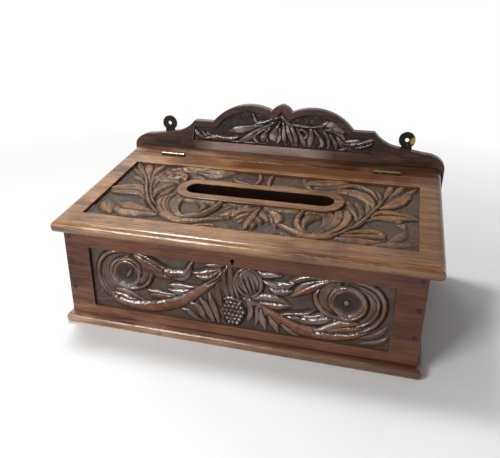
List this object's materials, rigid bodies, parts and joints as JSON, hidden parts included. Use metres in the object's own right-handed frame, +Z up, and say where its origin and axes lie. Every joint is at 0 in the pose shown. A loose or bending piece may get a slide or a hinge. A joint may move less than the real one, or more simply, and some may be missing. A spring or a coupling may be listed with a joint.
{
  "type": "wall letter box",
  "caption": "Wall-hung carved oak letter box with a sloping hinged lid that has a posting slot, a keyed bolt lock in the front board, and a crested back board with hanging plates.",
  "frame": {"origin": "on the plane of the base board's underside, at the middle of the overall width and depth", "axes": "+X to the right as one faces the front board, +Y towards the wall, +Z up"},
  "size_m": [0.41, 0.239, 0.2124],
  "materials": {
    "lid_oak": "waxed old oak, worn lighter along its edges",
    "rail_oak": "waxed old oak",
    "front_oak": "dark waxed oak",
    "side_oak": "dark waxed oak",
    "back_oak": "very dark waxed oak",
    "base_oak": "waxed old oak",
    "hinge_steel": "dulled and worn",
    "lock_brass": "dull",
    "bolt_steel": "plain",
    "hanger_brass": "blackened",
    "screw_steel": "dull",
    "nail_iron": "black"
  },
  "bodies": {
    "box": {"back_board": "back_oak", "base_board": "base_oak", "front_board": "front_oak", "hinge_rail": "rail_oak", "left_back_screw_1": "screw_steel", "left_back_screw_2": "screw_steel", "left_base_screw_1": "screw_steel", "left_base_screw_2": "screw_steel", "left_front_nail_1": "nail_iron", "left_front_nail_2": "nail_iron", "left_front_nail_3": "nail_iron", "left_hanger": "hanger_brass", "left_hanger_screw_1": "screw_steel", "left_hanger_screw_2": "screw_steel", "left_hinge_pin": "hinge_steel", "left_hinge_rail_leaf": "hinge_steel", "left_hinge_rail_screw_1": "screw_steel", "left_hinge_rail_screw_2": "screw_steel", "left_rail_screw": "screw_steel", "left_side": "side_oak", "lock_case": "lock_brass", "lock_drill_pin": "bolt_steel", "lock_screw_1": "screw_steel", "lock_screw_2": "screw_steel", "lock_screw_3": "screw_steel", "lock_screw_4": "screw_steel", "right_back_screw_1": "screw_steel", "right_back_screw_2": "screw_steel", "right_base_screw_1": "screw_steel", "right_base_screw_2": "screw_steel", "right_front_nail_1": "nail_iron", "right_front_nail_2": "nail_iron", "right_front_nail_3": "nail_iron", "right_hanger": "hanger_brass", "right_hanger_screw_1": "screw_steel", "right_hanger_screw_2": "screw_steel", "right_hinge_pin": "hinge_steel", "right_hinge_rail_leaf": "hinge_steel", "right_hinge_rail_screw_1": "screw_steel", "right_hinge_rail_screw_2": "screw_steel", "right_rail_screw": "screw_steel", "right_side": "side_oak"},
    "lid": {"lid_board": "lid_oak", "left_hinge_lid_leaf": "hinge_steel", "right_hinge_lid_leaf": "hinge_steel", "lock_link_plate": "lock_brass", "link_screw_1": "screw_steel", "link_screw_2": "screw_steel", "left_hinge_lid_screw_1": "screw_steel", "left_hinge_lid_screw_2": "screw_steel", "right_hinge_lid_screw_1": "screw_steel", "right_hinge_lid_screw_2": "screw_steel"},
    "lock_bolt": {"lock_bolt": "bolt_steel", "lock_spring": "bolt_steel"}
  },
  "joints": [
    {"name": "lid_hinge", "type": "hinge", "parent": "box", "child": "lid", "pos_m": [0, 0.07872, 0.14484], "axis": [-1, 0, 0], "range_deg": [0, 119]},
    {"name": "lock_bolt_slide", "type": "slide", "parent": "box", "child": "lock_bolt", "axis": [1, 0, 0], "range_m": [0, 0.007]}
  ]
}
